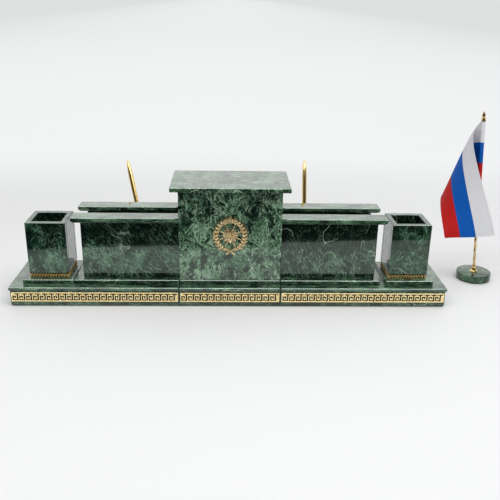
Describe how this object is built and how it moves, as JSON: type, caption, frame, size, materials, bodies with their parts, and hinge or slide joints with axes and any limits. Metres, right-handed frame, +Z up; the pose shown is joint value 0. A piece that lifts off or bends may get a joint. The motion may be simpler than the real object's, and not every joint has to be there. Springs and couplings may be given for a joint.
{
  "type": "stone desk set with pens and flag",
  "caption": "Polished stone desk set: a stepped plinth with brass key strips carries a tower, letter racks and square cups, with swivel pens behind and a small flag on a stand.",
  "frame": {"origin": "on the desk, under the middle of the plinth", "axes": "+X to the right along the plinth, +Y to the back, +Z up"},
  "size_m": [0.8403, 0.2432, 0.3064],
  "materials": {
    "green_stone": "polished",
    "pale_brass": "polished",
    "rope_brass": "antique",
    "polished_gold": "polished",
    "refill_brass": "satin",
    "pole_brass": "polished",
    "felt": "matte",
    "flag_satin": "satin"
  },
  "bodies": {
    "desk_set": {"left_plinth": "green_stone", "left_plinth_top": "green_stone", "centre_plinth": "green_stone", "centre_plinth_top": "green_stone", "right_plinth": "green_stone", "right_plinth_top": "green_stone", "left_rack_plate": "green_stone", "left_rack_front": "green_stone", "left_rack_back": "green_stone", "left_front_rail": "green_stone", "left_back_rail": "green_stone", "left_cup_plate": "green_stone", "left_cup_foot": "green_stone", "left_cup_faces": "green_stone", "left_cup_sides": "green_stone", "left_cup_floor": "green_stone", "left_pen_ledge": "green_stone", "right_rack_plate": "green_stone", "right_rack_front": "green_stone", "right_rack_back": "green_stone", "right_front_rail": "green_stone", "right_back_rail": "green_stone", "right_cup_plate": "green_stone", "right_cup_foot": "green_stone", "right_cup_faces": "green_stone", "right_cup_sides": "green_stone", "right_cup_floor": "green_stone", "right_pen_ledge": "green_stone", "tower_plate": "green_stone", "tower_front": "green_stone", "tower_back": "green_stone", "tower_sides": "green_stone", "tower_cap": "green_stone", "left_key_strip": "pale_brass", "centre_key_strip": "pale_brass", "right_key_strip": "pale_brass", "emblem": "pale_brass", "left_cup_band": "rope_brass", "right_cup_band": "rope_brass", "base_felts": "felt", "left_pen_foot": "polished_gold", "right_pen_foot": "polished_gold"},
    "left_swivel_fork": {"left_pen_fork": "polished_gold", "left_pen_pin": "polished_gold"},
    "left_funnel": {"left_pen_funnel": "polished_gold"},
    "left_pen": {"left_pen_barrel": "polished_gold"},
    "left_pen_top": {"left_pen_cap": "polished_gold"},
    "left_refill": {"left_pen_refill": "refill_brass"},
    "right_swivel_fork": {"right_pen_fork": "polished_gold", "right_pen_pin": "polished_gold"},
    "right_funnel": {"right_pen_funnel": "polished_gold"},
    "right_pen": {"right_pen_barrel": "polished_gold"},
    "right_pen_top": {"right_pen_cap": "polished_gold"},
    "right_refill": {"right_pen_refill": "refill_brass"},
    "flag_stand": {"flag_base": "green_stone", "flag_felt": "felt", "flag_ferrule": "pole_brass"},
    "flag_staff": {"flag_pole": "pole_brass", "flag_finial": "pole_brass"},
    "flag": {"flag_cloth": "flag_satin"}
  },
  "joints": [
    {"name": "left_swivel", "type": "hinge", "parent": "desk_set", "child": "left_swivel_fork", "pos_m": [-0.1585, 0.112, 0.0576], "axis": [0, 0, 1], "range_deg": [-75, 75]},
    {"name": "left_tilt", "type": "hinge", "parent": "left_swivel_fork", "child": "left_funnel", "pos_m": [-0.1585, 0.112, 0.0576], "axis": [-0.8949, -0.4462, 0], "range_deg": [-25, 29]},
    {"name": "left_pen_lift", "type": "slide", "parent": "left_funnel", "child": "left_pen", "axis": [-0.2278, 0.4569, 0.8599], "range_m": [0, 0.06]},
    {"name": "left_twist", "type": "hinge", "parent": "left_pen", "child": "left_pen_top", "pos_m": [-0.1585, 0.112, 0.0576], "axis": [-0.2278, 0.4569, 0.8599], "range_deg": [0, 120]},
    {"name": "left_point", "type": "slide", "parent": "left_pen", "child": "left_refill", "axis": [0.2278, -0.4569, -0.8599], "range_m": [0, 0.003]},
    {"name": "right_swivel", "type": "hinge", "parent": "desk_set", "child": "right_swivel_fork", "pos_m": [0.1383, 0.112, 0.0576], "axis": [0, 0, 1], "range_deg": [-75, 75]},
    {"name": "right_tilt", "type": "hinge", "parent": "right_swivel_fork", "child": "right_funnel", "pos_m": [0.1383, 0.112, 0.0576], "axis": [-0.9995, 0.0332, 0], "range_deg": [-25, 29]},
    {"name": "right_pen_lift", "type": "slide", "parent": "right_funnel", "child": "right_pen", "axis": [0.0156, 0.4692, 0.8829], "range_m": [0, 0.06]},
    {"name": "right_twist", "type": "hinge", "parent": "right_pen", "child": "right_pen_top", "pos_m": [0.1383, 0.112, 0.0576], "axis": [0.0156, 0.4692, 0.8829], "range_deg": [0, 120]},
    {"name": "right_point", "type": "slide", "parent": "right_pen", "child": "right_refill", "axis": [-0.0156, -0.4692, -0.8829], "range_m": [0, 0.003]},
    {"name": "flag_stand_lift", "type": "slide", "parent": "desk_set", "child": "flag_stand", "axis": [0, 0, 1], "range_m": [0, 0.1]},
    {"name": "staff_lift", "type": "slide", "parent": "flag_stand", "child": "flag_staff", "axis": [-0.0758, 0, 0.9971], "range_m": [0, 0.03]},
    {"name": "flag_turn", "type": "hinge", "parent": "flag_staff", "child": "flag", "pos_m": [0.45, 0.0685, 0.014], "axis": [-0.0758, 0, 0.9971], "continuous": true}
  ],
  "couplings": [
    {"joint": "left_point", "follows": "left_twist", "m_per_rad": 0.0014324},
    {"joint": "right_point", "follows": "right_twist", "m_per_rad": 0.0014324}
  ]
}
